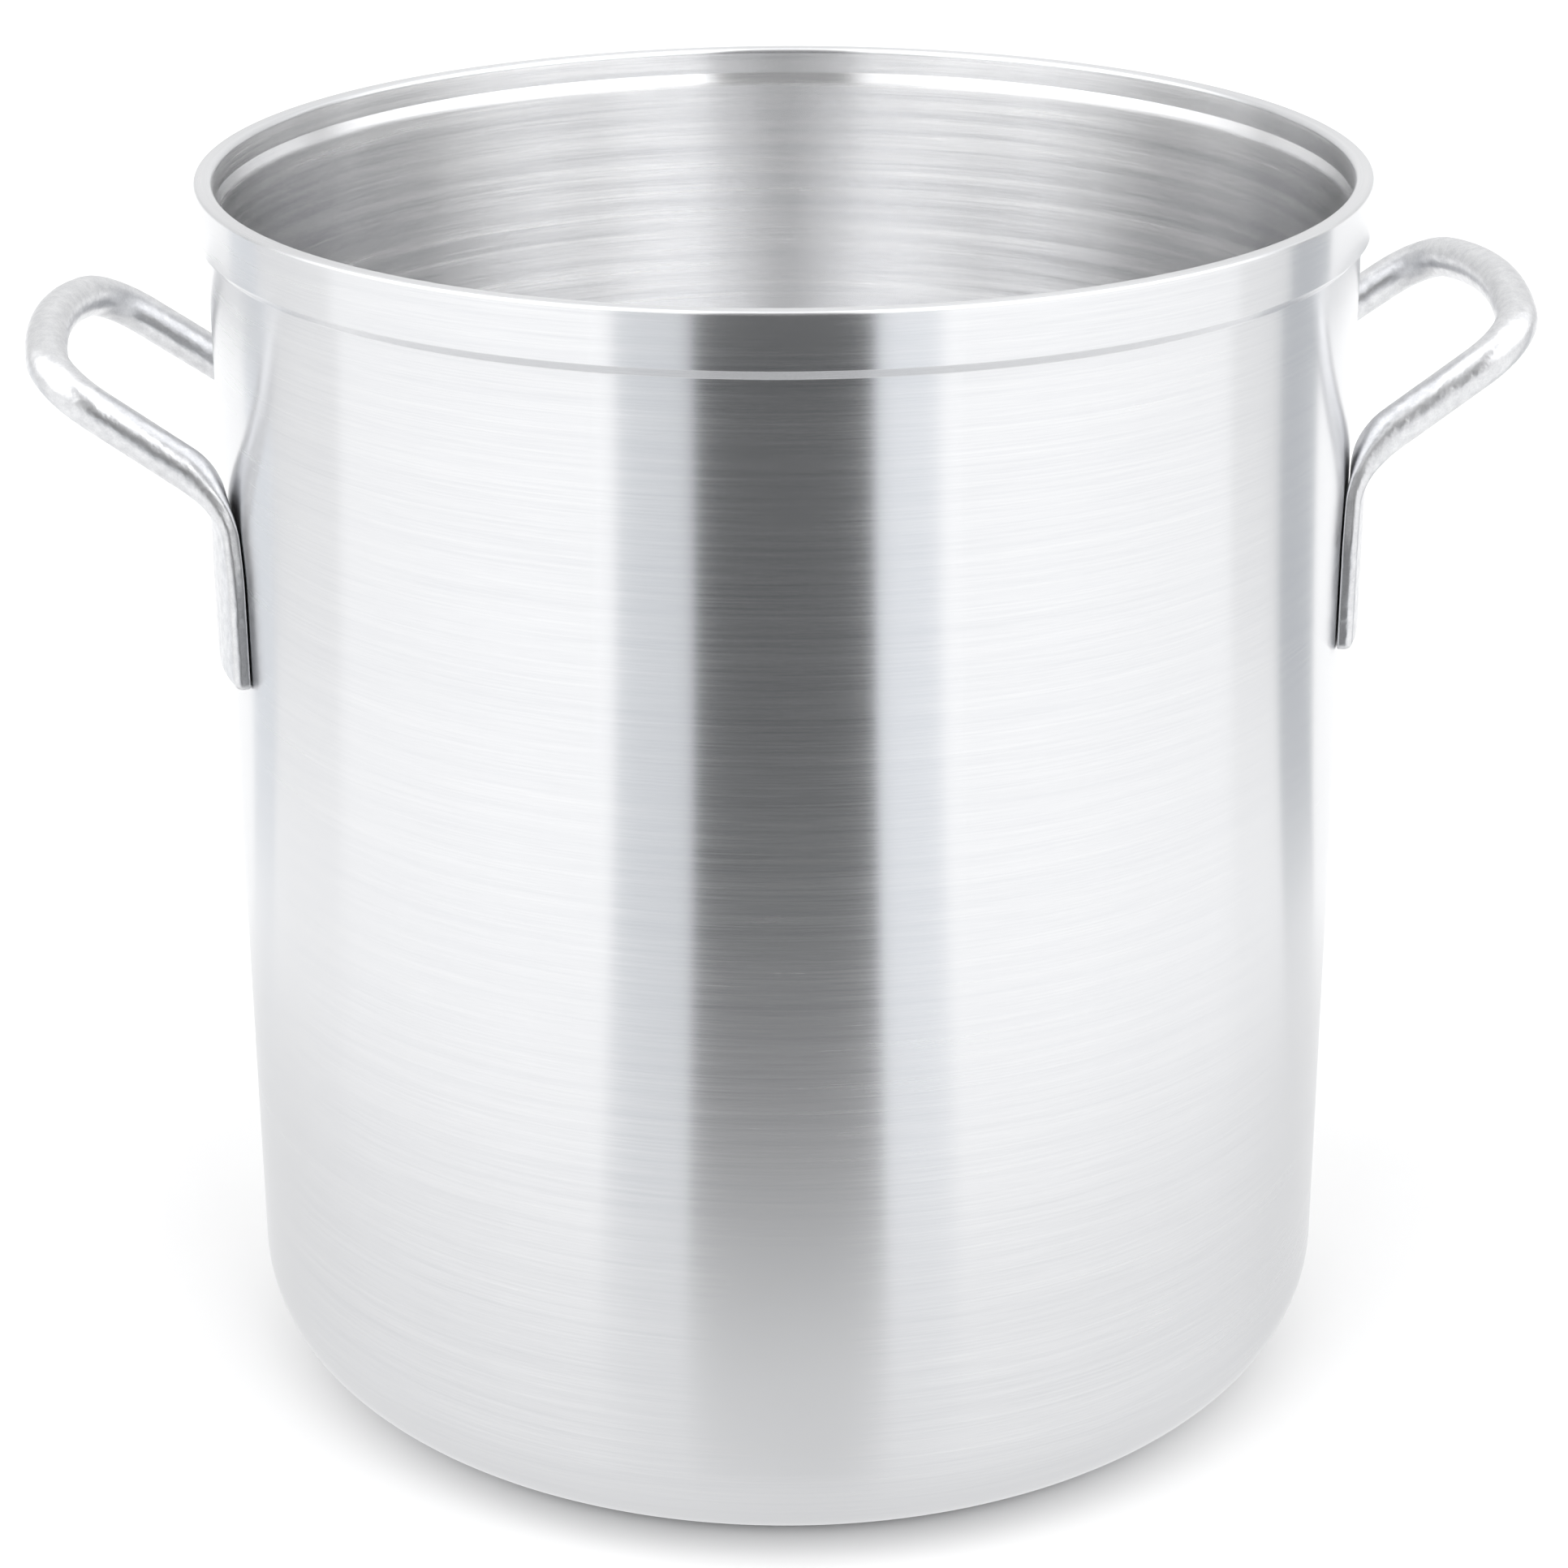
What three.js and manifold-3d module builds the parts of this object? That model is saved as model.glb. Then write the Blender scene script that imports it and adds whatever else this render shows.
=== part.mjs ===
// Stock pot: a spun aluminium shell with two bent-rod loop handles, each fixed by four solid rivets.
// Units are millimetres. +Z is up, the origin is the centre of the flat underside, and the handles
// point along +X and -X.

import * as THREE from 'three';
import { LoftGeometry } from 'three/addons/geometries/LoftGeometry.js';
import { mergeVertices } from 'three/addons/utils/BufferGeometryUtils.js';
import Module from 'manifold-3d';

const wasm = await Module();
wasm.setup();

const DEGREE = Math.PI / 180;
const MERGE_TOLERANCE = 1e-4;

// Shell
const HEIGHT = 402.3;
const BODY_RADIUS = 181.7;
const RIM_RADIUS = 184.6;
const WALL_INSIDE_RADIUS = 177.7;
const RIM_INSIDE_RADIUS = 178.8;
const BASE_THICKNESS = 5.5;
const OUTER_CORNER_RADIUS = 34.4;
const INNER_CORNER_RADIUS = 30;
const RIM_BAND_DROP = 16.7;
const RIM_BEVEL_DROP = 19.7;
const RIM_OUTER_ROUNDING = 1.95;
const RIM_INNER_ROUNDING = 1.75;
const SEAT_BAND_DROP = 7.2;
const SEAT_EDGE_DROP = 12.4;
const SHELL_SEGMENTS = 64;
const SHELL_CORNER_STEPS = 8;
const RIM_STEPS = 3;

// Handles: each one is a round rod whose ends are flattened into legs that lie on the wall
const ROD_RADIUS = 6.8;
const LEG_THICKNESS = 5;
const LEG_WIDTH = 29;
const LEG_OFFSET = 57.6;
const LEG_BOTTOM = 253;
const LEG_INNER_CORNER = 9;
const LEG_OUTER_CORNER = 2;
const LEG_NARROWS_AT = 284;
const LEG_END_ROUNDING = 1;
const LEG_END_THINNING = 0.25;
const LEG_SQUARENESS = 2;
const KNEE_HEIGHT = 314.4;
const KNEE_RADIUS = 27;
const RISE = 34.3 * DEGREE;
const BAR_CONVERGENCE = 3 * DEGREE;
const BAR_LENGTH = 45.5;
const CORNER_RADIUS = 22.2;
const CORNER_TURN = 72.6 * DEGREE;
const ASSEMBLY_GAP = 0.3;
const SECTION_POINTS = 16;
const LEG_END_STEPS = 5;
const KNEE_STEPS = 9;
const CORNER_STEPS = 8;
const GRIP_STEPS = 3;

// The handles are set by hand: both sit a little behind the X axis, and the right one a little higher
const HANDLE_SETBACK = 3.1 * DEGREE;
const HANDLE_LIFT = 1.9;
const HANDLES = [
	{ side: 'left', azimuth: Math.PI - HANDLE_SETBACK, lift: - HANDLE_LIFT },
	{ side: 'right', azimuth: HANDLE_SETBACK, lift: HANDLE_LIFT },
];

// Rivets: two in each leg, domed inside the pot and flush outside
const RIVET_HEIGHTS = { lower: LEG_BOTTOM + 12, upper: LEG_BOTTOM + 35 };
const RIVET_SHANK_RADIUS = 2.3;
const RIVET_HEAD_RADIUS = 5.6;
const RIVET_HEAD_HEIGHT = 2.4;
const RIVET_FLUSH_RADIUS = 4.4;
const RIVET_FLUSH_DEPTH = 2.1;
const RIVET_BELOW_FACE = 0.2;
const RIVET_SEGMENTS = 16;
const RIVET_DOME_STEPS = 3;
const CUTTER_OVERSHOOT = 4;

const QUARTER_TURN = Math.PI / 2;
const LEG_CENTRE_RADIUS = BODY_RADIUS + ASSEMBLY_GAP + LEG_THICKNESS / 2;
const LEG_ANGLE = Math.asin( LEG_OFFSET / LEG_CENTRE_RADIUS );
const LEG_FACE_RADIUS = LEG_CENTRE_RADIUS + LEG_THICKNESS / 2;

const shellMetal = new THREE.MeshStandardMaterial( { color: 0xd9dadc, roughness: 0.34, metalness: 1 } );
const handleMetal = new THREE.MeshStandardMaterial( { color: 0xcfd1d3, roughness: 0.42, metalness: 1 } );
const rivetMetal = new THREE.MeshStandardMaterial( { color: 0xc4c6c8, roughness: 0.38, metalness: 1 } );

// Points of an arc about (centreX, centreY), from one angle to another, both ends included
function arc( centreX, centreY, radius, from, to, steps ) {

	const points = [];

	for ( let i = 0; i <= steps; i ++ ) {

		const angle = from + ( to - from ) * i / steps;
		const x = centreX + radius * Math.cos( angle );
		const y = centreY + radius * Math.sin( angle );
		points.push( new THREE.Vector2( x, y ) );

	}

	return points;

}

// A closed geometry as a manifold solid: positions merged, collapsed triangles left out
function toSolid( geometry ) {

	const bare = new THREE.BufferGeometry();
	bare.setAttribute( 'position', geometry.attributes.position );
	bare.setIndex( geometry.index );
	const merged = mergeVertices( bare, MERGE_TOLERANCE );
	const index = merged.index.array;
	const triangles = [];

	for ( let i = 0; i < index.length; i += 3 ) {

		const [ a, b, c ] = [ index[ i ], index[ i + 1 ], index[ i + 2 ] ];
		if ( a !== b && b !== c && c !== a ) triangles.push( a, b, c );

	}

	return new wasm.Manifold( new wasm.Mesh( {
		numProp: 3,
		vertProperties: Float32Array.from( merged.attributes.position.array ),
		triVerts: Uint32Array.from( triangles ),
	} ) );

}

function toGeometry( solid ) {

	const mesh = solid.getMesh();
	const geometry = new THREE.BufferGeometry();
	geometry.setAttribute( 'position', new THREE.BufferAttribute( mesh.vertProperties, 3 ) );
	geometry.setIndex( new THREE.BufferAttribute( mesh.triVerts, 1 ) );
	geometry.computeVertexNormals();
	return geometry;

}

// The shell's profile, from the underside's centre, up the outside, over the rim and down the inside
function shellProfile() {

	const outerCentre = BODY_RADIUS - OUTER_CORNER_RADIUS;
	const innerCentre = WALL_INSIDE_RADIUS - INNER_CORNER_RADIUS;
	const seatStep = RIM_INSIDE_RADIUS - WALL_INSIDE_RADIUS;
	const seatHeight = SEAT_EDGE_DROP - SEAT_BAND_DROP;
	const seatTurn = 2 * Math.atan( seatStep / seatHeight );
	const seatRadius = seatHeight / Math.sin( seatTurn );

	return [
		new THREE.Vector2( 0, 0 ),
		...arc( outerCentre, OUTER_CORNER_RADIUS, OUTER_CORNER_RADIUS, - QUARTER_TURN, 0, SHELL_CORNER_STEPS ),
		new THREE.Vector2( BODY_RADIUS, HEIGHT - RIM_BEVEL_DROP ),
		new THREE.Vector2( RIM_RADIUS, HEIGHT - RIM_BAND_DROP ),
		...arc( RIM_RADIUS - RIM_OUTER_ROUNDING, HEIGHT - RIM_OUTER_ROUNDING, RIM_OUTER_ROUNDING,
			0, QUARTER_TURN, RIM_STEPS ),
		...arc( RIM_INSIDE_RADIUS + RIM_INNER_ROUNDING, HEIGHT - RIM_INNER_ROUNDING, RIM_INNER_ROUNDING,
			QUARTER_TURN, Math.PI, RIM_STEPS ),
		...arc( RIM_INSIDE_RADIUS - seatRadius, HEIGHT - SEAT_BAND_DROP, seatRadius, 0, - seatTurn, RIM_STEPS ),
		...arc( innerCentre, BASE_THICKNESS + INNER_CORNER_RADIUS, INNER_CORNER_RADIUS,
			0, - QUARTER_TURN, SHELL_CORNER_STEPS ),
		new THREE.Vector2( 0, BASE_THICKNESS ),
	];

}

// A rivet or its hole, turned about the X axis: X is the distance from the pot's axis
function turned( profile ) {

	const points = profile.map( ( [ radius, along ] ) => new THREE.Vector2( radius, along ) );
	const geometry = new THREE.LatheGeometry( points, RIVET_SEGMENTS );
	geometry.rotateZ( - QUARTER_TURN );
	return geometry;

}

function rivetGeometry() {

	const underHead = WALL_INSIDE_RADIUS - ASSEMBLY_GAP - RIVET_HEAD_RADIUS ** 2 / ( 2 * WALL_INSIDE_RADIUS );
	const flushEnd = LEG_FACE_RADIUS - RIVET_BELOW_FACE;
	const dome = [];

	for ( let i = 0; i <= RIVET_DOME_STEPS; i ++ ) {

		const angle = QUARTER_TURN * i / RIVET_DOME_STEPS;
		dome.push( [ RIVET_HEAD_RADIUS * Math.sin( angle ), underHead - RIVET_HEAD_HEIGHT * Math.cos( angle ) ] );

	}

	return turned( [
		...dome,
		[ RIVET_SHANK_RADIUS, underHead ],
		[ RIVET_SHANK_RADIUS, flushEnd - RIVET_FLUSH_DEPTH ],
		[ RIVET_FLUSH_RADIUS, flushEnd ],
		[ 0, flushEnd ],
	] );

}

function rivetHoleGeometry() {

	const shank = RIVET_SHANK_RADIUS + ASSEMBLY_GAP;
	const flush = RIVET_FLUSH_RADIUS + ASSEMBLY_GAP;
	const slope = ( flush - shank ) / RIVET_FLUSH_DEPTH;
	const flushEnd = LEG_FACE_RADIUS - RIVET_BELOW_FACE;
	return turned( [
		[ 0, WALL_INSIDE_RADIUS - CUTTER_OVERSHOOT ],
		[ shank, WALL_INSIDE_RADIUS - CUTTER_OVERSHOOT ],
		[ shank, flushEnd - RIVET_FLUSH_DEPTH ],
		[ flush + slope * CUTTER_OVERSHOOT, flushEnd + CUTTER_OVERSHOOT ],
		[ 0, flushEnd + CUTTER_OVERSHOOT ],
	] );

}

// Where a rivet goes in its handle's own frame, with the leg on side -1 (front) or 1 (back)
function rivetPlaces() {

	const places = [];

	for ( const [ leg, sign ] of [ [ 'front', - 1 ], [ 'back', 1 ] ] ) {

		for ( const [ level, height ] of Object.entries( RIVET_HEIGHTS ) ) {

			places.push( { leg, sign, level, height } );

		}

	}

	return places;

}

// Half of a handle's centre line, from the bottom of its leg at -Y to the middle of its grip. Each
// station holds the place, the way the rod runs, the way its outer or lower face looks, and how
// flat and how wide it is there: 1 on the leg and 0 on the round rod.
function halfHandle() {

	const legX = LEG_CENTRE_RADIUS * Math.cos( LEG_ANGLE );
	const legNormal = new THREE.Vector3( Math.cos( LEG_ANGLE ), - Math.sin( LEG_ANGLE ), 0 );
	const up = new THREE.Vector3( 0, 0, 1 );
	const outwards = new THREE.Vector3( Math.cos( RISE ), 0, Math.sin( RISE ) );
	const across = new THREE.Vector3( 0, 1, 0 );
	const under = new THREE.Vector3( Math.sin( RISE ), 0, - Math.cos( RISE ) );
	const knee = new THREE.Vector3( legX, - LEG_OFFSET, KNEE_HEIGHT );
	const heading = ( angle ) => outwards.clone().multiplyScalar( Math.cos( angle ) )
		.addScaledVector( across, Math.sin( angle ) );
	const bar = heading( BAR_CONVERGENCE );
	const kneeTurn = up.angleTo( bar );
	const kneeLength = KNEE_RADIUS * Math.tan( kneeTurn / 2 );
	const kneeStart = KNEE_HEIGHT - kneeLength;
	const stations = [];

	const add = ( place, along, face, flat, wide ) => {

		const normal = face.clone().addScaledVector( along, - face.dot( along ) ).normalize();
		stations.push( { place, along, normal, flat, wide } );

	};

	// The leg's inner bottom corner is round, and needs sections that follow its arc
	for ( let i = 0; i <= LEG_END_STEPS; i ++ ) {

		const height = LEG_INNER_CORNER * ( 1 - Math.cos( QUARTER_TURN * i / LEG_END_STEPS ) );
		add( new THREE.Vector3( legX, - LEG_OFFSET, LEG_BOTTOM + height ), up, legNormal, 1, 1 );

	}

	add( new THREE.Vector3( legX, - LEG_OFFSET, LEG_NARROWS_AT ), up, legNormal, 1, 1 );

	// The rod narrows from the leg's full width to a circle by the end of the knee
	const narrowing = kneeStart - LEG_NARROWS_AT + KNEE_RADIUS * kneeTurn;
	const width = ( run ) => 1 - THREE.MathUtils.smoothstep( run / narrowing, 0, 1 );
	add( new THREE.Vector3( legX, - LEG_OFFSET, ( LEG_NARROWS_AT + kneeStart ) / 2 ), up, legNormal, 1,
		width( ( kneeStart - LEG_NARROWS_AT ) / 2 ) );

	const inward = bar.clone().addScaledVector( up, - bar.dot( up ) ).normalize();

	for ( let i = 0; i <= KNEE_STEPS; i ++ ) {

		const turn = kneeTurn * i / KNEE_STEPS;
		const place = new THREE.Vector3( legX, - LEG_OFFSET, kneeStart )
			.addScaledVector( inward, KNEE_RADIUS * ( 1 - Math.cos( turn ) ) )
			.addScaledVector( up, KNEE_RADIUS * Math.sin( turn ) );
		const along = up.clone().multiplyScalar( Math.cos( turn ) ).addScaledVector( inward, Math.sin( turn ) );
		const bent = THREE.MathUtils.smoothstep( turn / kneeTurn, 0, 1 );
		const face = legNormal.clone().lerp( under, bent );
		add( place, along, face, 1 - bent, width( kneeStart - LEG_NARROWS_AT + KNEE_RADIUS * turn ) );

	}

	add( knee.clone().addScaledVector( bar, ( kneeLength + BAR_LENGTH ) / 2 ), bar, under, 0, 0 );

	const cornerStart = knee.clone().addScaledVector( bar, BAR_LENGTH );
	let place = cornerStart;

	for ( let i = 0; i <= CORNER_STEPS; i ++ ) {

		const angle = BAR_CONVERGENCE + CORNER_TURN * i / CORNER_STEPS;
		place = cornerStart.clone()
			.addScaledVector( outwards, CORNER_RADIUS * ( Math.sin( angle ) - Math.sin( BAR_CONVERGENCE ) ) )
			.addScaledVector( across, CORNER_RADIUS * ( Math.cos( BAR_CONVERGENCE ) - Math.cos( angle ) ) );
		add( place, heading( angle ), under, 0, 0 );

	}

	// The grip is bowed: one wide arc between the two corners
	const gripFrom = BAR_CONVERGENCE + CORNER_TURN;
	const gripRadius = - place.y / Math.cos( gripFrom );
	const gripStart = place;

	for ( let i = 1; i <= GRIP_STEPS; i ++ ) {

		const angle = gripFrom + ( QUARTER_TURN - gripFrom ) * i / GRIP_STEPS;
		place = gripStart.clone()
			.addScaledVector( outwards, gripRadius * ( Math.sin( angle ) - Math.sin( gripFrom ) ) )
			.addScaledVector( across, gripRadius * ( Math.cos( gripFrom ) - Math.cos( angle ) ) );
		add( place, heading( angle ), under, 0, 0 );

	}

	return stations;

}

// One cross-section of the rod: a circle on the bars and a rounded flat, bent to the wall, on a leg
function section( station ) {

	const { place, along, normal, flat, wide } = station;
	const side = new THREE.Vector3().crossVectors( along, normal );
	const aboveEnd = wide === 1 ? place.z - LEG_BOTTOM : Infinity;
	const corner = ( radius ) => {

		const short = Math.max( radius - aboveEnd, 0 );
		return radius - Math.sqrt( radius ** 2 - short ** 2 );

	};
	const inner = LEG_WIDTH / 2 - corner( LEG_INNER_CORNER );
	const outer = LEG_WIDTH / 2 - corner( LEG_OUTER_CORNER );
	const thinning = LEG_END_THINNING * Math.max( 1 - aboveEnd / LEG_END_ROUNDING, 0 );
	const halfThickness = THREE.MathUtils.lerp( ROD_RADIUS, LEG_THICKNESS / 2 * ( 1 - thinning ), flat );
	const halfWidth = THREE.MathUtils.lerp( ROD_RADIUS, ( inner + outer ) / 2, wide );
	const shift = ( inner - outer ) / 2;
	const points = [];

	for ( let i = 0; i < SECTION_POINTS; i ++ ) {

		const angle = 2 * Math.PI * i / SECTION_POINTS;
		const sine = Math.sin( angle );
		const square = THREE.MathUtils.clamp( sine * LEG_SQUARENESS, - 1, 1 );
		const spread = THREE.MathUtils.lerp( sine, square, flat );
		const across = spread * ( halfWidth - halfThickness ) + sine * halfThickness + shift;
		const crown = across ** 2 / ( 2 * LEG_CENTRE_RADIUS ) * flat;
		const outwards = Math.cos( angle ) * halfThickness - crown;
		points.push( place.clone().addScaledVector( normal, outwards ).addScaledVector( side, across ) );

	}

	return points;

}

function handleGeometry() {

	const half = halfHandle();
	const front = half.map( section );

	// The other half is the same sections, mirrored
	const mirror = ( point ) => new THREE.Vector3( point.x, - point.y, point.z );
	const back = front.slice( 0, - 1 ).reverse().map( ( points ) => points.map( mirror ) );
	return new LoftGeometry( [ ...front, ...back ], { capStart: true, capEnd: true } );

}

function rivetMatrix( { sign, height } ) {

	return new THREE.Matrix4().makeRotationZ( sign * LEG_ANGLE ).setPosition( 0, 0, height );

}

const pot = new THREE.Group();
const shellGeometry = new THREE.LatheGeometry( shellProfile(), SHELL_SEGMENTS );
shellGeometry.rotateX( Math.PI / 2 );
let shell = toSolid( shellGeometry );

for ( const { side, azimuth, lift } of HANDLES ) {

	const mount = new THREE.Group();
	mount.rotation.z = azimuth;
	mount.position.z = lift;
	mount.updateMatrix();
	let rod = toSolid( handleGeometry() );

	for ( const rivet of rivetPlaces() ) {

		const place = rivetMatrix( rivet );
		rod = rod.subtract( toSolid( rivetHoleGeometry().applyMatrix4( place ) ) );
		shell = shell.subtract( toSolid( rivetHoleGeometry().applyMatrix4( place ).applyMatrix4( mount.matrix ) ) );

		// The leg at -Y in a handle's frame is in front on the right, and behind on the left
		const leg = side === 'right' ? rivet.leg : { front: 'back', back: 'front' }[ rivet.leg ];
		const mesh = new THREE.Mesh( rivetGeometry(), rivetMetal );
		mesh.name = `${ side }_${ leg }_${ rivet.level }_rivet`;
		mesh.applyMatrix4( place );
		mount.add( mesh );

	}

	const handle = new THREE.Mesh( toGeometry( rod ), handleMetal );
	handle.name = `${ side }_handle`;
	mount.add( handle );
	pot.add( mount );

}

const body = new THREE.Mesh( toGeometry( shell ), shellMetal );
body.name = 'pot_body';
pot.add( body );

export default pot;
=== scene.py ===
"""Looks for a spun aluminium stock pot with two bent-rod handles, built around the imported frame.

Everything is in metres, with +Z up and the origin at the centre of the flat underside.
"""

import math

import bmesh
import bpy
from mathutils import Matrix, Vector


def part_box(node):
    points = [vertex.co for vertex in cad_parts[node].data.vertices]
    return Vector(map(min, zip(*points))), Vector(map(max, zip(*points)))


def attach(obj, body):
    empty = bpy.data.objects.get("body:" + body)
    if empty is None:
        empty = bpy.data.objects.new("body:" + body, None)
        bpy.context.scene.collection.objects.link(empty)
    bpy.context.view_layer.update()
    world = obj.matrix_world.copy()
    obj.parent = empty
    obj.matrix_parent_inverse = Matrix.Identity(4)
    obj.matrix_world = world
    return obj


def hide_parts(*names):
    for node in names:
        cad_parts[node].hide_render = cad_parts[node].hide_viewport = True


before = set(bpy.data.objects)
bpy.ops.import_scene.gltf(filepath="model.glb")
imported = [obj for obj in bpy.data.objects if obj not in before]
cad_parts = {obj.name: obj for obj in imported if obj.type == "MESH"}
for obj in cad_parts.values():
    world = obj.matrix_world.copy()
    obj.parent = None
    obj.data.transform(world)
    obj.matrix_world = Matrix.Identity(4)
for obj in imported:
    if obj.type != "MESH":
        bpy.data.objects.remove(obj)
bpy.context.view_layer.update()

MM = 0.001
QUARTER = math.pi / 2
SHARP_ANGLE = math.radians(40)

# Shell: the frame's own sizes, with a crisper outer edge and lid seat
POT_LOW, POT_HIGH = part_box("pot_body")
HEIGHT = POT_HIGH.z
RIM_RADIUS = POT_HIGH.x
BODY_RADIUS = RIM_RADIUS - 2.9 * MM
WALL_INSIDE_RADIUS = BODY_RADIUS - 4.0 * MM
RIM_INSIDE_RADIUS = WALL_INSIDE_RADIUS + 1.1 * MM
BASE_THICKNESS = 5.5 * MM
OUTER_CORNER_RADIUS = 34.4 * MM
INNER_CORNER_RADIUS = 30.0 * MM
RIM_BAND_DROP = 16.7 * MM
RIM_BEVEL_DROP = 19.7 * MM
RIM_OUTER_ROUNDING = 1.2 * MM
RIM_INNER_ROUNDING = 1.75 * MM
CREASE_ROUNDING = 0.9 * MM
BAND_EDGE_ROUNDING = 0.45 * MM
SEAT_TOP_DROP = 8.6 * MM
SEAT_FOOT_DROP = 12.3 * MM
SEAT_TOP_ROUNDING = 1.0 * MM
SEAT_FOOT_ROUNDING = 7.0 * MM
INSIDE_STARTS = (RIM_INSIDE_RADIUS, HEIGHT - RIM_INNER_ROUNDING)
SHELL_SEGMENTS = 288
WALL_ROWS = 40
FLAT_ROWS = 10
BAND_ROWS = 6
CORNER_STEPS = 24
RIM_STEPS = 8
EDGE_STEPS = 4
SEAT_FOOT_STEPS = 6

# Handles
ROD_RADIUS = 6.65 * MM
LEG_THICKNESS = 5.0 * MM
LEG_WIDTH = 29.0 * MM
LEG_OFFSET = 57.6 * MM
LEG_BOTTOM = 253.0 * MM
LEG_INNER_CORNER = 9.0 * MM
LEG_OUTER_CORNER = 2.0 * MM
LEG_NARROWS_AT = 284.0 * MM
LEG_SQUARENESS = 2.0
LEG_FACE_FLATNESS = 0.3
LEG_END_ROUNDING = 2.5 * MM
KNEE_HEIGHT = 314.4 * MM
KNEE_RADIUS = 27.0 * MM
RISE = math.radians(34.3)
BAR_CONVERGENCE = math.radians(3.0)
BAR_LENGTH = 45.5 * MM
CORNER_RADIUS = 22.2 * MM
CORNER_TURN = math.radians(72.6)
ASSEMBLY_GAP = 0.3 * MM
SECTION_POINTS = 48

HANDLE_SETBACK = math.radians(3.1)
HANDLE_LIFT = 1.9 * MM
HANDLES = {
    "left": (math.pi - HANDLE_SETBACK, -HANDLE_LIFT),
    "right": (HANDLE_SETBACK, HANDLE_LIFT),
}

# Rivets
RIVET_HEIGHTS = {"lower": LEG_BOTTOM + 12 * MM, "upper": LEG_BOTTOM + 35 * MM}
RIVET_SHANK_RADIUS = 2.3 * MM
RIVET_HEAD_RADIUS = 5.6 * MM
RIVET_HEAD_HEIGHT = 2.4 * MM
RIVET_FLUSH_RADIUS = 4.4 * MM
RIVET_FLUSH_DEPTH = 2.1 * MM
RIVET_EDGE_WIDTH = 0.3 * MM
RIVET_EDGE_DEPTH = 0.15 * MM
RIVET_BELOW_FACE = 0.2 * MM
RIVET_SEGMENTS = 48
RIVET_DOME_STEPS = 8

LEG_CENTRE_RADIUS = BODY_RADIUS + ASSEMBLY_GAP + LEG_THICKNESS / 2
LEG_ANGLE = math.asin(LEG_OFFSET / LEG_CENTRE_RADIUS)
LEG_FACE_RADIUS = LEG_CENTRE_RADIUS + LEG_THICKNESS / 2

# Camera: where it stands and how it is turned, seen from the pot's axis
LENS = 87.56
SENSOR_WIDTH = 36
CAMERA_DISTANCE = 1.18945
CAMERA_HEIGHT = 0.67143
CAMERA_AZIMUTH = math.radians(3.68)
CAMERA_PITCH = 0.384786
CAMERA_PAN = -0.00063
CAMERA_ROLL = -0.004589

# Metals: noise takes the colour and the roughness from one value to another
OUTSIDE_METAL = {
    "dark": (0.705, 0.712, 0.73),
    "light": (0.765, 0.77, 0.782),
    "smooth": 0.22,
    "rough": 0.27,
    "ring_depth": 0.008 * MM,
    "banding": 0.25,
}
INSIDE_METAL = {
    "dark": (0.86, 0.865, 0.88),
    "light": (0.99, 0.99, 0.992),
    "smooth": 0.2,
    "rough": 0.28,
    "ring_depth": 0.03 * MM,
    "banding": 0.5,
}
HANDLE_METAL = {
    "dark": (0.62, 0.625, 0.64),
    "light": (0.76, 0.765, 0.775),
    "roughness": 0.33,
}
RIVET_METAL = {
    "dark": (0.72, 0.725, 0.74),
    "light": (0.86, 0.865, 0.87),
    "roughness": 0.34,
}
FLOOR_COLOURS = ((0.77, 0.77, 0.77), (0.79, 0.79, 0.79))
FLOOR_HALF_SIZE = 6
FLOOR_DROP = 0.5 * MM

# Rings of the spun metal: changes along a ring, fineness across them, detail and noise roughness
TURNED_RINGS = (1.6, 2600, 3.0, 0.6)
SCRATCH_RINGS = (7, 1500, 2.0, 0.7)
BROAD_RINGS = (1.1, 260, 2.0, 0.5)
TURNED_SHARE = 0.6
NEAR_AXIS = 1 * MM
CLOUD_SCALE = 9.0
CLOUD_LOW, CLOUD_HIGH = 0.3, 0.7
CLOUD_EFFECT = 0.015
RING_BUMP_STRENGTH = 0.25

# The stretch of a noise that takes a metal from its first value to its second
NOISE_LOW, NOISE_HIGH = 0.35, 0.65

# Tumbled metal: noise scales per metre, their shares and how deep the dents are
DENT_SCALE = 300
WAVE_SCALE = 85
GRAIN_SCALE = 1500
TONE_FROM_DENTS = 0.6
HEIGHT_FROM_WAVES = 0.78
DENT_DEPTH = 1.4 * MM
DENT_STRENGTH = 0.6
ROUGHNESS_SPREAD = 0.05

# Gaps between the soft boxes: azimuth in degrees (0 in front, positive towards +X), half width,
# blur and depth
STUDIO_GAPS = (
    (-3.9, 17.0, 3.0, 0.84),
    (-3.7, 36, 18, 0.12),
    (-28.5, 7, 4, 0.35),
    (20, 5, 3, 0.15),
    (112, 6, 4, 0.45),
    (120, 45, 30, 0.15),
    (-137, 45, 30, 0.15),
    (-125, 4, 3, 0.3),
)
# Brightness from one height to another, as sines of the elevation, in front and behind
BRIGHTER_ABOVE = (0.05, 0.55, 1.0, 2.7)
BACK_BRIGHTER_ABOVE = (0.05, 0.6, 1.0, 1.15)
BEHIND_AZIMUTHS = (105, 135)
OVERHEAD_BOX = (0.9, 0.97)
OVERHEAD_STRENGTH = 1.8

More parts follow.
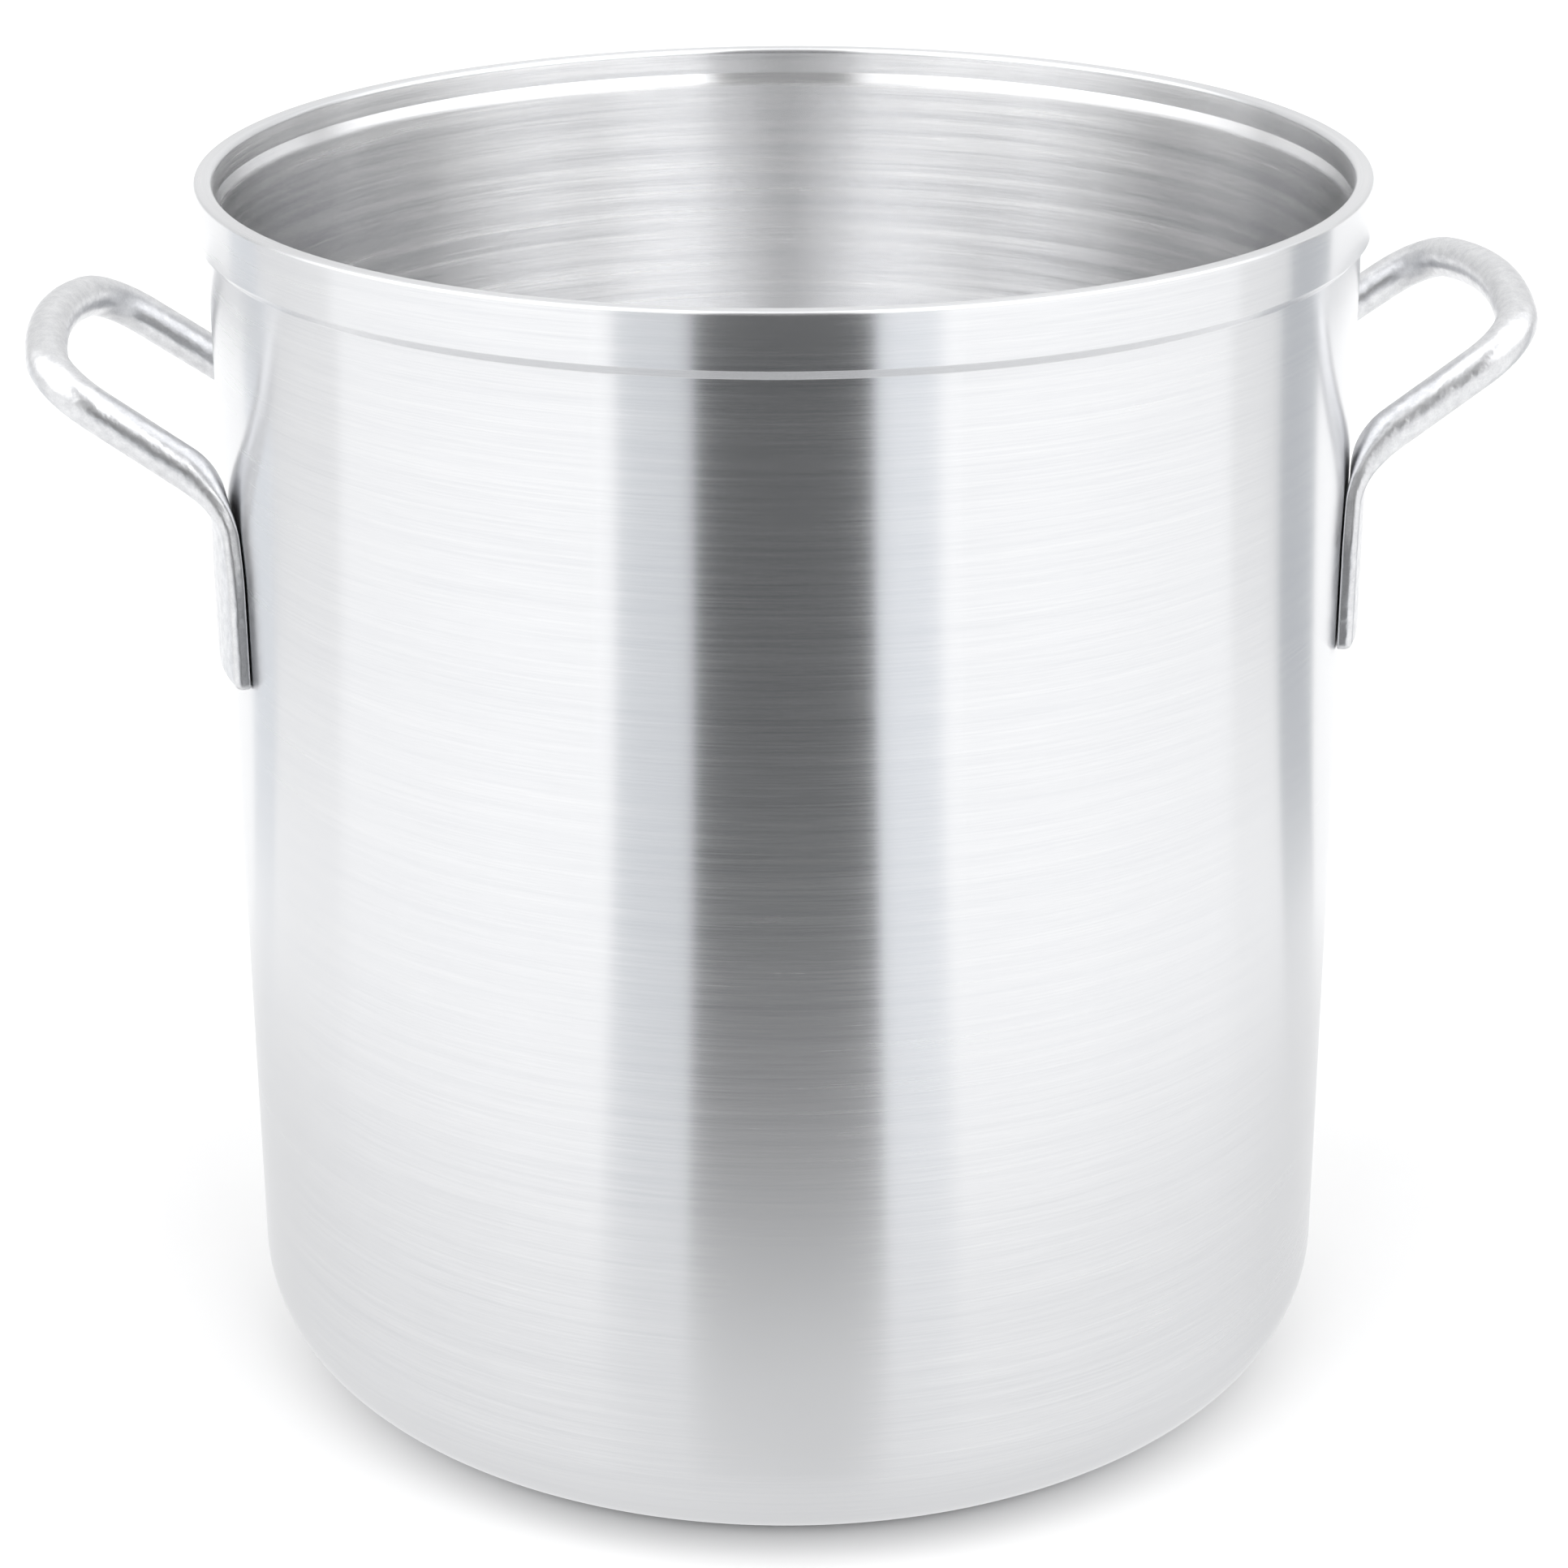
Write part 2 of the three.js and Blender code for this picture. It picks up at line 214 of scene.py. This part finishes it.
# Cards on the floor: two azimuths in degrees, two distances, shade and glow
CARDS = {
    "black_flag": (-19.8, 12.2, 0.42, 5.0, 0.055, 0.0),
    "left_shoulder": (-34, -19.8, 0.42, 5.0, 0.5, 0.0),
    "right_shoulder": (12.2, 24, 0.42, 5.0, 0.6, 0.0),
    "base_glow": (-180, 180, 0.16, 0.42, 0.0, 0.95),
    "left_bounce": (-95, -38, 0.75, 5.0, 0.0, 1.2),
    "right_bounce": (28, 88, 0.75, 5.0, 0.0, 1.2),
    "left_far_bounce": (-119, -95, 0.75, 5.0, 0.0, 1.0),
    "right_far_bounce": (88, 104, 0.75, 5.0, 0.0, 1.0),
    "left_streak": (-131, -119, 0.55, 5.0, 0.6, 0.0),
    "right_streak": (104, 120, 0.55, 5.0, 0.4, 0.0),
}
CARD_TINT = (0.97, 1.0, 1.04)
CARD_STEPS = 48
CARD_HEIGHT = 1 * MM


def lerp(a, b, t):
    return a + (b - a) * t


def smoothstep(t):
    t = min(max(t, 0.0), 1.0)
    return t * t * (3 - 2 * t)


def new_object(name, mesh, *materials):
    """A smooth-shaded object whose edges stay crisp where the surface turns sharply."""
    for material in materials:
        mesh.materials.append(material)
    mesh.shade_smooth()
    mesh.set_sharp_from_angle(angle=SHARP_ANGLE)
    piece = bpy.data.objects.new(name, mesh)
    bpy.context.scene.collection.objects.link(piece)
    return piece


# Meshes ---------------------------------------------------------------------------------------


def arc(x, z, radius, start, end, steps):
    """Points of an arc about (x, z), both ends included."""
    angles = [lerp(start, end, i / steps) for i in range(steps + 1)]
    return [(x + radius * math.cos(a), z + radius * math.sin(a)) for a in angles]


def straight(start, end, steps):
    """Points between two places, with neither end."""
    return [
        (lerp(start[0], end[0], i / steps), lerp(start[1], end[1], i / steps))
        for i in range(1, steps)
    ]


def rounded(before, corner, after, radius, steps):
    """The arc that rounds off a corner between two straight lines."""
    p = Vector(corner)
    a = (Vector(before) - p).normalized()
    b = (Vector(after) - p).normalized()
    half = a.angle(b) / 2
    reach = radius / math.tan(half)
    centre = p + (a + b).normalized() * (radius / math.sin(half))
    start = p + a * reach - centre
    end = p + b * reach - centre
    turn = start.angle_signed(end)
    points = []
    for i in range(steps + 1):
        angle = -turn * i / steps
        points.append(
            (
                centre.x + start.x * math.cos(angle) - start.y * math.sin(angle),
                centre.y + start.x * math.sin(angle) + start.y * math.cos(angle),
            )
        )
    return points


def shell_profile():
    """From the underside's centre, up the outside, over the rim and down the inside."""
    outer_centre = BODY_RADIUS - OUTER_CORNER_RADIUS
    inner_centre = WALL_INSIDE_RADIUS - INNER_CORNER_RADIUS
    crease = (BODY_RADIUS, HEIGHT - RIM_BEVEL_DROP)
    edge = (RIM_RADIUS, HEIGHT - RIM_BAND_DROP)
    rim_top = (RIM_RADIUS, HEIGHT)
    wall_foot = (BODY_RADIUS, OUTER_CORNER_RADIUS)
    seat_top = (RIM_INSIDE_RADIUS, HEIGHT - SEAT_TOP_DROP)
    seat_foot = (WALL_INSIDE_RADIUS, HEIGHT - SEAT_FOOT_DROP)
    inner_foot = (WALL_INSIDE_RADIUS, BASE_THICKNESS + INNER_CORNER_RADIUS)
    inside_top = (RIM_INSIDE_RADIUS, HEIGHT)
    outer_corner = arc(
        outer_centre, OUTER_CORNER_RADIUS, OUTER_CORNER_RADIUS, -QUARTER, 0, CORNER_STEPS
    )
    inner_corner = arc(
        inner_centre, inner_foot[1], INNER_CORNER_RADIUS, 0, -QUARTER, CORNER_STEPS
    )
    rim_outside = arc(
        RIM_RADIUS - RIM_OUTER_ROUNDING,
        HEIGHT - RIM_OUTER_ROUNDING,
        RIM_OUTER_ROUNDING,
        0,
        QUARTER,
        RIM_STEPS,
    )
    rim_inside = arc(
        RIM_INSIDE_RADIUS + RIM_INNER_ROUNDING,
        HEIGHT - RIM_INNER_ROUNDING,
        RIM_INNER_ROUNDING,
        QUARTER,
        math.pi,
        RIM_STEPS,
    )
    return [
        (0, 0),
        *straight((0, 0), (outer_centre, 0), FLAT_ROWS),
        *outer_corner,
        *straight(wall_foot, crease, WALL_ROWS),
        *rounded(wall_foot, crease, edge, CREASE_ROUNDING, EDGE_STEPS),
        *rounded(crease, edge, rim_top, BAND_EDGE_ROUNDING, EDGE_STEPS),
        *straight(edge, rim_top, BAND_ROWS)[1:-1],
        *rim_outside,
        *rim_inside,
        *rounded(inside_top, seat_top, seat_foot, SEAT_TOP_ROUNDING, EDGE_STEPS),
        *rounded(seat_top, seat_foot, inner_foot, SEAT_FOOT_ROUNDING, SEAT_FOOT_STEPS),
        *straight(seat_foot, inner_foot, WALL_ROWS),
        *inner_corner,
        *straight((inner_centre, BASE_THICKNESS), (0, BASE_THICKNESS), FLAT_ROWS),
        (0, BASE_THICKNESS),
    ]


def lathe(profile, segments, second_from=math.inf):
    """A closed mesh turned about Z from a profile that starts and ends on the axis.

    Faces from the profile point second_from on take the object's second material.
    """
    shape = bmesh.new()
    bottom = shape.verts.new((0, 0, profile[0][1]))
    top = shape.verts.new((0, 0, profile[-1][1]))
    rings = []
    for radius, z in profile[1:-1]:
        ring = []
        for i in range(segments):
            angle = 2 * math.pi * i / segments
            ring.append(shape.verts.new((radius * math.cos(angle), radius * math.sin(angle), z)))
        rings.append(ring)
    for i in range(segments):
        j = (i + 1) % segments
        shape.faces.new((bottom, rings[0][j], rings[0][i]))
        for row, (below, above) in enumerate(zip(rings, rings[1:]), start=1):
            face = shape.faces.new((below[i], below[j], above[j], above[i]))
            face.material_index = int(row >= second_from)
        face = shape.faces.new((top, rings[-1][i], rings[-1][j]))
        face.material_index = int(len(rings) >= second_from)
    mesh = bpy.data.meshes.new("turned")
    shape.to_mesh(mesh)
    shape.free()
    return mesh


def half_handle():
    """Stations from the bottom of the leg at -Y to the middle of the grip."""
    leg_x = LEG_CENTRE_RADIUS * math.cos(LEG_ANGLE)
    leg_normal = Vector((math.cos(LEG_ANGLE), -math.sin(LEG_ANGLE), 0))
    up = Vector((0, 0, 1))
    outwards = Vector((math.cos(RISE), 0, math.sin(RISE)))
    across = Vector((0, 1, 0))
    under = Vector((math.sin(RISE), 0, -math.cos(RISE)))
    knee = Vector((leg_x, -LEG_OFFSET, KNEE_HEIGHT))

    def heading(angle):
        return outwards * math.cos(angle) + across * math.sin(angle)

    bar = heading(BAR_CONVERGENCE)
    knee_turn = up.angle(bar)
    knee_length = KNEE_RADIUS * math.tan(knee_turn / 2)
    knee_start = KNEE_HEIGHT - knee_length
    stations = []

    def add(place, along, face, flat, wide):
        normal = (face - along * face.dot(along)).normalized()
        stations.append((place, along, normal, flat, wide))

    end_steps = 12
    for i in range(end_steps + 1):
        height = LEG_INNER_CORNER * (1 - math.cos(QUARTER * i / end_steps))
        add(Vector((leg_x, -LEG_OFFSET, LEG_BOTTOM + height)), up, leg_normal, 1, 1)
    low = LEG_BOTTOM + LEG_INNER_CORNER
    leg_steps = 8
    for i in range(1, leg_steps + 1):
        height = lerp(low, LEG_NARROWS_AT, i / leg_steps)
        add(Vector((leg_x, -LEG_OFFSET, height)), up, leg_normal, 1, 1)

    narrowing = knee_start - LEG_NARROWS_AT + KNEE_RADIUS * knee_turn

    def width(run):
        return 1 - smoothstep(run / narrowing)

    neck_steps = 6
    for i in range(1, neck_steps):
        run = (knee_start - LEG_NARROWS_AT) * i / neck_steps
        place = Vector((leg_x, -LEG_OFFSET, LEG_NARROWS_AT + run))
        add(place, up, leg_normal, 1, width(run))

    inward = (bar - up * bar.dot(up)).normalized()
    knee_steps = 24
    for i in range(knee_steps + 1):
        turn = knee_turn * i / knee_steps
        place = Vector((leg_x, -LEG_OFFSET, knee_start))
        place += inward * KNEE_RADIUS * (1 - math.cos(turn)) + up * KNEE_RADIUS * math.sin(turn)
        along = up * math.cos(turn) + inward * math.sin(turn)
        bent = smoothstep(turn / knee_turn)
        run = knee_start - LEG_NARROWS_AT + KNEE_RADIUS * turn
        add(place, along, leg_normal.lerp(under, bent), 1 - bent, width(run))

    bar_steps = 12
    for i in range(1, bar_steps):
        place = knee + bar * lerp(knee_length, BAR_LENGTH, i / bar_steps)
        add(place, bar, under, 0, 0)

    corner_start = knee + bar * BAR_LENGTH
    corner_steps = 20
    for i in range(corner_steps + 1):
        angle = BAR_CONVERGENCE + CORNER_TURN * i / corner_steps
        place = corner_start.copy()
        place += outwards * CORNER_RADIUS * (math.sin(angle) - math.sin(BAR_CONVERGENCE))
        place += across * CORNER_RADIUS * (math.cos(BAR_CONVERGENCE) - math.cos(angle))
        add(place, heading(angle), under, 0, 0)

    grip_from = BAR_CONVERGENCE + CORNER_TURN
    grip_start = place.copy()
    grip_radius = -grip_start.y / math.cos(grip_from)
    grip_steps = 12
    for i in range(1, grip_steps + 1):
        angle = lerp(grip_from, QUARTER, i / grip_steps)
        place = grip_start.copy()
        place += outwards * grip_radius * (math.sin(angle) - math.sin(grip_from))
        place += across * grip_radius * (math.cos(grip_from) - math.cos(angle))
        add(place, heading(angle), under, 0, 0)
    return stations


def section(station):
    """One cross-section: a circle on the bars, and a rounded flat bent to the wall on a leg."""
    place, along, normal, flat, wide = station
    side = along.cross(normal)
    above_end = max(place.z - LEG_BOTTOM, 0) if wide == 1 else math.inf

    def corner(radius):
        short = max(radius - above_end, 0)
        return radius - math.sqrt(radius**2 - short**2)

    inner = LEG_WIDTH / 2 - corner(LEG_INNER_CORNER)
    outer = LEG_WIDTH / 2 - corner(LEG_OUTER_CORNER)
    half_thickness = lerp(ROD_RADIUS, LEG_THICKNESS / 2, flat)
    near_end = max(1 - above_end / LEG_END_ROUNDING, 0)
    end_slope = math.sqrt(1 - near_end**2)
    half_width = lerp(ROD_RADIUS, (inner + outer) / 2, wide)
    shift = (inner - outer) / 2
    points = []
    for i in range(SECTION_POINTS):
        angle = 2 * math.pi * i / SECTION_POINTS
        sine = math.sin(angle)
        square = min(max(sine * LEG_SQUARENESS, -1), 1)
        spread = lerp(sine, square, flat)
        cosine = math.cos(angle)
        if cosine < 0:
            pressed = lerp(1, LEG_FACE_FLATNESS, flat)
            cosine = -(abs(cosine) ** pressed)
            sine = math.copysign(abs(sine) ** pressed, sine)
        else:
            cosine *= end_slope
        across = spread * (half_width - half_thickness) + sine * half_thickness + shift
        crown = across**2 / (2 * LEG_CENTRE_RADIUS) * flat
        outwards = cosine * half_thickness - crown
        points.append(place + normal * outwards + side * across)
    return points


def handle_mesh():
    stations = half_handle()
    front = [section(station) for station in stations]
    back = [
        [Vector((p.x, -p.y, p.z)) for p in points] for points in reversed(front[:-1])
    ]
    shape = bmesh.new()
    rings = [[shape.verts.new(p) for p in points] for points in front + back]
    for below, above in zip(rings, rings[1:]):
        for i in range(SECTION_POINTS):
            j = (i + 1) % SECTION_POINTS
            shape.faces.new((below[i], below[j], above[j], above[i]))
    shape.faces.new(reversed(rings[0]))
    shape.faces.new(rings[-1])
    bmesh.ops.recalc_face_normals(shape, faces=shape.faces)
    mesh = bpy.data.meshes.new("handle")
    shape.to_mesh(mesh)
    shape.free()
    return mesh


def rivet_mesh():
    """A rivet along X: domed inside the pot, flush outside, X being the distance from the axis."""
    under_head = WALL_INSIDE_RADIUS - ASSEMBLY_GAP
    under_head -= RIVET_HEAD_RADIUS**2 / (2 * WALL_INSIDE_RADIUS)
    flush_end = LEG_FACE_RADIUS - RIVET_BELOW_FACE
    profile = []
    for i in range(RIVET_DOME_STEPS + 1):
        angle = QUARTER * i / RIVET_DOME_STEPS
        profile.append(
            (
                RIVET_HEAD_RADIUS * math.sin(angle),
                under_head - RIVET_HEAD_HEIGHT * math.cos(angle),
            )
        )
    profile.append((RIVET_SHANK_RADIUS, under_head))
    profile.append((RIVET_SHANK_RADIUS, flush_end - RIVET_FLUSH_DEPTH))
    profile.append((RIVET_FLUSH_RADIUS - RIVET_EDGE_WIDTH, flush_end - RIVET_EDGE_DEPTH))
    profile.append((RIVET_FLUSH_RADIUS - 2 * RIVET_EDGE_WIDTH, flush_end))
    profile.append((0, flush_end))
    mesh = lathe(profile, RIVET_SEGMENTS)
    mesh.transform(Matrix.Rotation(QUARTER, 4, "Y"))
    return mesh


# Materials ------------------------------------------------------------------------------------


class Nodes:
    """A short way to write a material's nodes."""

    def __init__(self, owner):
        owner.use_nodes = True
        self.material = owner
        self.tree = owner.node_tree
        self.shader = self.tree.nodes.get("Principled BSDF")

    def add(self, kind, **settings):
        node = self.tree.nodes.new(kind)
        for key, value in settings.items():
            setattr(node, key, value)
        return node

    def link(self, source, target):
        self.tree.links.new(source, target)

    def math(self, operation, first, second=None):
        node = self.add("ShaderNodeMath", operation=operation)
        for socket, value in zip(node.inputs, (first, second)):
            if isinstance(value, bpy.types.NodeSocket):
                self.link(value, socket)
            elif value is not None:
                socket.default_value = value
        return node.outputs[0]

    def vector(self, x, y, z):
        node = self.add("ShaderNodeCombineXYZ")
        for socket, value in zip(node.inputs, (x, y, z)):
            if isinstance(value, bpy.types.NodeSocket):
                self.link(value, socket)
            else:
                socket.default_value = value
        return node.outputs[0]

    def noise(self, vector, scale, detail=2.0, roughness=0.5):
        node = self.add("ShaderNodeTexNoise")
        node.inputs["Scale"].default_value = scale
        node.inputs["Detail"].default_value = detail
        node.inputs["Roughness"].default_value = roughness
        self.link(vector, node.inputs["Vector"])
        return node.outputs["Fac"]

    def span(self, value, low, high, to_low, to_high):
        """Maps value from low..high to to_low..to_high, and holds it there."""
        node = self.add("ShaderNodeMapRange")
        self.link(value, node.inputs["Value"])
        for key, number in zip(
            ("From Min", "From Max", "To Min", "To Max"), (low, high, to_low, to_high)
        ):
            node.inputs[key].default_value = number
        return node.outputs["Result"]

    def mix_colour(self, factor, first, second):
        node = self.add("ShaderNodeMix", data_type="RGBA")
        self.link(factor, node.inputs[0])
        node.inputs[6].default_value = (*first, 1)
        node.inputs[7].default_value = (*second, 1)
        return node.outputs[2]

    def bump(self, height, distance, strength=1.0):
        node = self.add("ShaderNodeBump")
        node.inputs["Distance"].default_value = distance
        node.inputs["Strength"].default_value = strength
        self.link(height, node.inputs["Height"])
        return node.outputs["Normal"]


def spun_metal(name, dark, light, smooth, rough, ring_depth, banding):
    """Satin aluminium with fine turned rings, which spread its reflections up and down.

    banding is the share of broad rings among the fine ones.
    """
    n = Nodes(bpy.data.materials.new(name))
    shader = n.shader
    shader.inputs["Metallic"].default_value = 1
    shader.inputs["Anisotropic"].default_value = 1.0
    shader.inputs["Anisotropic Rotation"].default_value = 0.25
    place = n.add("ShaderNodeTexCoord").outputs["Object"]
    split = n.add("ShaderNodeSeparateXYZ")
    n.link(place, split.inputs[0])
    x, y, z = split.outputs
    radius = n.math("SQRT", n.math("ADD", n.math("MULTIPLY", x, x), n.math("MULTIPLY", y, y)))
    run = n.math("ADD", z, radius)
    unit_x = n.math("DIVIDE", x, n.math("MAXIMUM", radius, NEAR_AXIS))
    unit_y = n.math("DIVIDE", y, n.math("MAXIMUM", radius, NEAR_AXIS))

    def rings(length, fineness, detail, roughness):
        """Noise drawn out round the axis."""
        across = n.math("MULTIPLY", unit_x, length)
        deep = n.math("MULTIPLY", unit_y, length)
        along = n.math("MULTIPLY", run, fineness)
        return n.noise(n.vector(across, deep, along), 1.0, detail, roughness)

    turned = n.math("MULTIPLY", rings(*TURNED_RINGS), TURNED_SHARE)
    scratches = n.math("MULTIPLY", rings(*SCRATCH_RINGS), 1 - TURNED_SHARE)
    fine = n.math("ADD", turned, scratches)
    broad = n.math("MULTIPLY", rings(*BROAD_RINGS), banding)
    tone = n.math("ADD", n.math("MULTIPLY", fine, 1 - banding), broad)
    colour = n.mix_colour(n.span(tone, NOISE_LOW, NOISE_HIGH, 0, 1), dark, light)
    n.link(colour, shader.inputs["Base Color"])
    gloss = n.span(tone, NOISE_LOW, NOISE_HIGH, smooth, rough)
    patches = n.noise(place, CLOUD_SCALE)
    cloud = n.span(patches, CLOUD_LOW, CLOUD_HIGH, -CLOUD_EFFECT, CLOUD_EFFECT)
    n.link(n.math("ADD", gloss, cloud), shader.inputs["Roughness"])
    n.link(n.bump(tone, ring_depth, RING_BUMP_STRENGTH), shader.inputs["Normal"])
    tangent = n.add("ShaderNodeTangent", direction_type="RADIAL", axis="Z")
    n.link(tangent.outputs[0], shader.inputs["Tangent"])
    return n.material


def tumbled_metal(name, dark, light, roughness):
    """Satin aluminium with the shallow dents and mottling of a bent, tumbled rod."""
    n = Nodes(bpy.data.materials.new(name))
    shader = n.shader
    shader.inputs["Metallic"].default_value = 1
    place = n.add("ShaderNodeTexCoord").outputs["Object"]
    dents = n.noise(place, DENT_SCALE, 3.0, 0.55)
    waves = n.noise(place, WAVE_SCALE)
    grain = n.noise(place, GRAIN_SCALE, 2.0, 0.6)
    tone = n.math(
        "ADD",
        n.math("MULTIPLY", dents, TONE_FROM_DENTS),
        n.math("MULTIPLY", grain, 1 - TONE_FROM_DENTS),
    )
    colour = n.mix_colour(n.span(tone, NOISE_LOW, NOISE_HIGH, 0, 1), dark, light)
    n.link(colour, shader.inputs["Base Color"])
    rough, smooth = roughness + ROUGHNESS_SPREAD, roughness - ROUGHNESS_SPREAD
    n.link(n.span(tone, NOISE_LOW, NOISE_HIGH, rough, smooth), shader.inputs["Roughness"])
    height = n.math(
        "ADD",
        n.math("MULTIPLY", waves, HEIGHT_FROM_WAVES),
        n.math("MULTIPLY", dents, 1 - HEIGHT_FROM_WAVES),
    )
    n.link(n.bump(height, DENT_DEPTH, DENT_STRENGTH), shader.inputs["Normal"])
    return n.material


def plain_floor():
    n = Nodes(bpy.data.materials.new("pale_floor"))
    place = n.add("ShaderNodeTexCoord").outputs["Object"]
    colour = n.mix_colour(n.noise(place, 3.0), *FLOOR_COLOURS)
    n.link(colour, n.shader.inputs["Base Color"])
    n.shader.inputs["Roughness"].default_value = 0.9
    n.shader.inputs["Specular IOR Level"].default_value = 0.1
    return n.material


# Object ---------------------------------------------------------------------------------------


def build_shell():
    outside = spun_metal("spun_aluminium", **OUTSIDE_METAL)
    inside = spun_metal("spun_aluminium_inside", **INSIDE_METAL)
    profile = shell_profile()
    inside_from = profile.index(min(profile[1:], key=lambda p: math.dist(p, INSIDE_STARTS)))
    piece = new_object("pot_shell", lathe(profile, SHELL_SEGMENTS, inside_from), outside, inside)
    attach(piece, "root")
    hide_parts("pot_body")


def build_handles():
    metal = tumbled_metal("handle_aluminium", **HANDLE_METAL)
    rivet_metal = tumbled_metal("rivet_aluminium", **RIVET_METAL)
    for side, (azimuth, lift) in HANDLES.items():
        mount = Matrix.Translation((0, 0, lift)) @ Matrix.Rotation(azimuth, 4, "Z")
        mesh = handle_mesh()
        mesh.transform(mount)
        piece = new_object(f"{side}_loop_handle", mesh, metal)
        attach(piece, "root")
        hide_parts(f"{side}_handle")
        for sign, local_leg in ((-1, "front"), (1, "back")):
            swapped = {"front": "back", "back": "front"}[local_leg]
            leg = local_leg if side == "right" else swapped
            for level, height in RIVET_HEIGHTS.items():
                place = Matrix.Translation((0, 0, height)) @ Matrix.Rotation(sign * LEG_ANGLE, 4, "Z")
                mesh = rivet_mesh()
                mesh.transform(mount @ place)
                rivet = new_object(f"{side}_{leg}_{level}_solid_rivet", mesh, rivet_metal)
                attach(rivet, "root")
                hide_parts(f"{side}_{leg}_{level}_rivet")


# Studio ---------------------------------------------------------------------------------------


def build_floor():
    shape = bmesh.new()
    bmesh.ops.create_grid(shape, x_segments=1, y_segments=1, size=FLOOR_HALF_SIZE)
    mesh = bpy.data.meshes.new("floor")
    shape.to_mesh(mesh)
    shape.free()
    floor = new_object("floor", mesh, plain_floor())
    floor.location.z = -FLOOR_DROP


def build_camera():
    data = bpy.data.cameras.new("camera")
    data.lens = LENS
    data.sensor_width = SENSOR_WIDTH
    camera = bpy.data.objects.new("camera", data)
    bpy.context.scene.collection.objects.link(camera)
    pan, pitch, roll = CAMERA_PAN, CAMERA_PITCH, CAMERA_ROLL
    forward = Vector(
        (math.sin(pan) * math.cos(pitch), math.cos(pan) * math.cos(pitch), -math.sin(pitch))
    )
    right = Vector((math.cos(pan), -math.sin(pan), 0))
    up = right.cross(forward)
    turned_right = right * math.cos(roll) + up * math.sin(roll)
    turned_up = up * math.cos(roll) - right * math.sin(roll)
    place = Matrix((turned_right, turned_up, -forward)).transposed().to_4x4()
    place.translation = Vector((0, -CAMERA_DISTANCE, CAMERA_HEIGHT))
    camera.matrix_world = Matrix.Rotation(-CAMERA_AZIMUTH, 4, "Z") @ place
    bpy.context.scene.camera = camera


def build_world():
    """A white studio with darker upright gaps between its soft boxes, brighter higher up."""
    world = bpy.data.worlds.new("studio")
    bpy.context.scene.world = world
    bpy.context.scene.view_settings.view_transform = "Standard"
    world.use_nodes = True
    n = Nodes(world)
    split = n.add("ShaderNodeSeparateXYZ")
    n.link(n.add("ShaderNodeTexCoord").outputs["Generated"], split.inputs[0])
    x, y, z = split.outputs
    azimuth = n.math("ARCTAN2", x, n.math("MULTIPLY", y, -1))
    studio = 1.0
    for centre, half_width, blur, depth in STUDIO_GAPS:
        away = n.math("ABSOLUTE", n.math("SUBTRACT", azimuth, math.radians(centre)))
        low, high = math.radians(half_width - blur), math.radians(half_width + blur)
        studio = n.math("MULTIPLY", n.span(away, low, high, 1 - depth, 1), studio)
    behind = n.span(n.math("ABSOLUTE", azimuth), *map(math.radians, BEHIND_AZIMUTHS), 0, 1)
    front_light = n.span(z, *BRIGHTER_ABOVE)
    back_light = n.span(z, *BACK_BRIGHTER_ABOVE)
    change = n.math("MULTIPLY", n.math("SUBTRACT", back_light, front_light), behind)
    studio = n.math("MULTIPLY", studio, n.math("ADD", front_light, change))
    studio = n.math("MAXIMUM", studio, n.span(z, *OVERHEAD_BOX, 0, OVERHEAD_STRENGTH))
    seen = n.add("ShaderNodeLightPath").outputs["Is Camera Ray"]
    value = n.math("MAXIMUM", studio, seen)
    colour = n.add("ShaderNodeCombineColor")
    for socket in colour.inputs:
        n.link(value, socket)
    background = n.tree.nodes["Background"]
    n.link(colour.outputs[0], background.inputs["Color"])


def build_card(name, low, high, near, far, shade, glow):
    """A flat piece of a ring just above the floor, which only reflections see."""
    shape = bmesh.new()
    rows = []
    for i in range(CARD_STEPS + 1):
        angle = math.radians(lerp(low, high, i / CARD_STEPS))
        direction = Vector((math.sin(angle), -math.cos(angle), 0))
        rows.append([shape.verts.new(direction * distance) for distance in (near, far)])
    for (a, b), (c, d) in zip(rows, rows[1:]):
        shape.faces.new((a, b, d, c))
    mesh = bpy.data.meshes.new(name)
    shape.to_mesh(mesh)
    shape.free()
    n = Nodes(bpy.data.materials.new(name))
    tinted = [shade * part for part in CARD_TINT]
    n.shader.inputs["Base Color"].default_value = (*tinted, 1)
    n.shader.inputs["Roughness"].default_value = 1
    n.shader.inputs["Specular IOR Level"].default_value = 0
    n.shader.inputs["Emission Color"].default_value = (1, 1, 1, 1)
    n.shader.inputs["Emission Strength"].default_value = glow
    card = new_object(name, mesh, n.material)
    card.location.z = CARD_HEIGHT
    card.visible_camera = False
    card.visible_diffuse = False
    card.visible_shadow = False


build_camera()
build_floor()
for card, settings in CARDS.items():
    build_card(card, *settings)
build_world()
build_shell()
build_handles()
